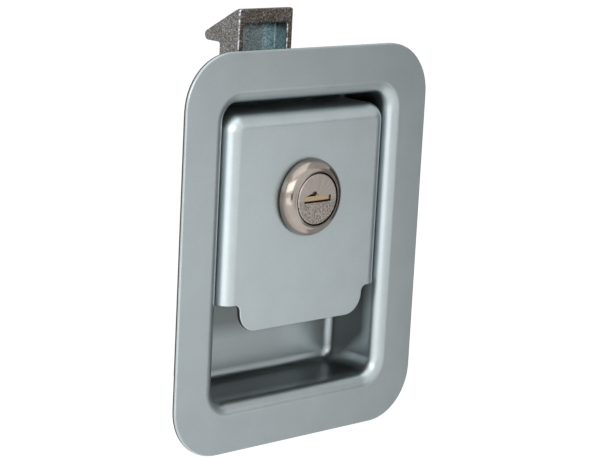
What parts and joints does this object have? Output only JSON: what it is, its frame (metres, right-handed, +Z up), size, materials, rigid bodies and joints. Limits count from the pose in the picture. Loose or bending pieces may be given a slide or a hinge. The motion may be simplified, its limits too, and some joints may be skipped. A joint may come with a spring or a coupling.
{
  "type": "flush paddle latch",
  "caption": "Flush slam latch: a finger paddle on a hinge pin in a sheet pan pulls a sprung bolt down, and a key lock in the paddle turns a cam that holds the paddle shut.",
  "frame": {"origin": "centre of the four mounting studs, on the rear face of the flange where it meets the door skin", "axes": "+Z up along the bolt towards its nose, +Y back into the door along the studs, +X to the right seen from the front"},
  "size_m": [0.094, 0.0422, 0.127],
  "materials": {
    "zinc_sheet": "satin clear zinc plate with a fine grain",
    "zinc_casting": "rough die casting, zinc plated",
    "nickel": "polished nickel plate",
    "nickel_cap": "turned and brushed nickel plate",
    "brass": "plain brass",
    "steel": "zinc plated",
    "spring_steel": "drawn wire and hardened strip",
    "nylon": "black nylon"
  },
  "bodies": {
    "pan": {"pan": "zinc_sheet", "mounting_studs": "steel", "bolt_guide": "zinc_sheet", "guide_rivets": "steel", "hinge_pin": "steel", "pin_clip": "spring_steel", "pin_spacers": "nylon", "bolt_springs": "spring_steel", "paddle_spring": "spring_steel"},
    "paddle": {"paddle": "zinc_sheet", "trip_lever": "zinc_sheet", "lock_housing": "nickel", "toothed_washer": "spring_steel", "lock_nut": "steel"},
    "plug": {"lock_plug": "brass", "plug_cap": "nickel_cap", "shutter_pin": "spring_steel", "lock_wafers": "brass", "stop_washer": "steel", "lock_cam": "zinc_sheet", "cam_washer": "spring_steel", "cam_screw": "steel"},
    "shutter": {"dust_shutter": "brass"},
    "bolt": {"bolt": "zinc_casting", "stop_pin": "spring_steel", "spring_pins": "steel"}
  },
  "joints": [
    {"name": "paddle_swing", "type": "hinge", "parent": "pan", "child": "paddle", "pos_m": [0, 0.008, 0.03348], "axis": [-1, 0, 0], "range_deg": [0, 32], "stiffness_Nm_per_rad": 0.15, "springref_deg": -20.05, "deforming": ["paddle_spring"]},
    {"name": "bolt_slide", "type": "slide", "parent": "pan", "child": "bolt", "axis": [0, 0, -1], "range_m": [0, 0.00924], "stiffness_N_per_m": 300, "springref_m": -0.01, "deforming": ["bolt_springs"]},
    {"name": "key_turn", "type": "hinge", "parent": "paddle", "child": "plug", "pos_m": [0, 0, 0.01508], "axis": [0, 1, 0], "range_deg": [0, 90]},
    {"name": "shutter_flap", "type": "hinge", "parent": "plug", "child": "shutter", "pos_m": [0, -0.0045, 0.01663], "axis": [1, 0, 0], "range_deg": [0, 75], "stiffness_Nm_per_rad": 0.00003, "springref_deg": -17.19}
  ],
  "couplings": [
    {"joint": "bolt_slide", "follows": "paddle_swing", "m_per_rad": 0.016532}
  ]
}
